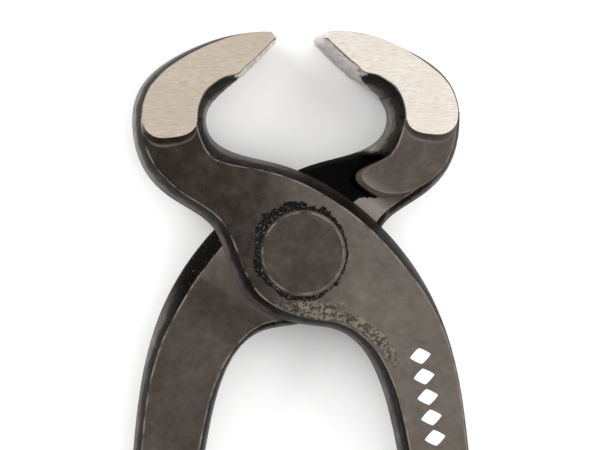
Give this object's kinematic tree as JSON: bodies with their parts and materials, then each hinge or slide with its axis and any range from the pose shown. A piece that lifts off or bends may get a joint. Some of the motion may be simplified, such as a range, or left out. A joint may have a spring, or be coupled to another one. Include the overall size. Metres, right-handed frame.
{
  "type": "carpenter's pincers",
  "caption": "End-cutting carpenter's pincers: crossed forged levers in a lap joint on a flush rivet, ground jaws, dipped grips; opens and closes.",
  "frame": {"origin": "centre of the pivot, in the lap plane between the two levers", "axes": "+Y to the jaws, +Z along the rivet out of the front lever's face, +X to the right seen from +Z; the pincers lie flat on the lower jaw faces"},
  "size_m": [0.0756, 0.2251, 0.022],
  "materials": {
    "forged_steel": "satin black lacquer over a forged skin, jaws ground bright on their sides",
    "rivet_steel": "satin black lacquer",
    "grip_vinyl": "soft gloss dipped vinyl"
  },
  "bodies": {
    "back_half": {"back_lever": "forged_steel", "back_grip": "grip_vinyl", "pivot_rivet": "rivet_steel"},
    "front_half": {"front_lever": "forged_steel", "front_grip": "grip_vinyl"}
  },
  "joints": [
    {"name": "jaw_pivot", "type": "hinge", "parent": "back_half", "child": "front_half", "pos_m": [0, 0, 0], "axis": [0, 0, 1], "range_deg": [-12.2, 25]}
  ]
}
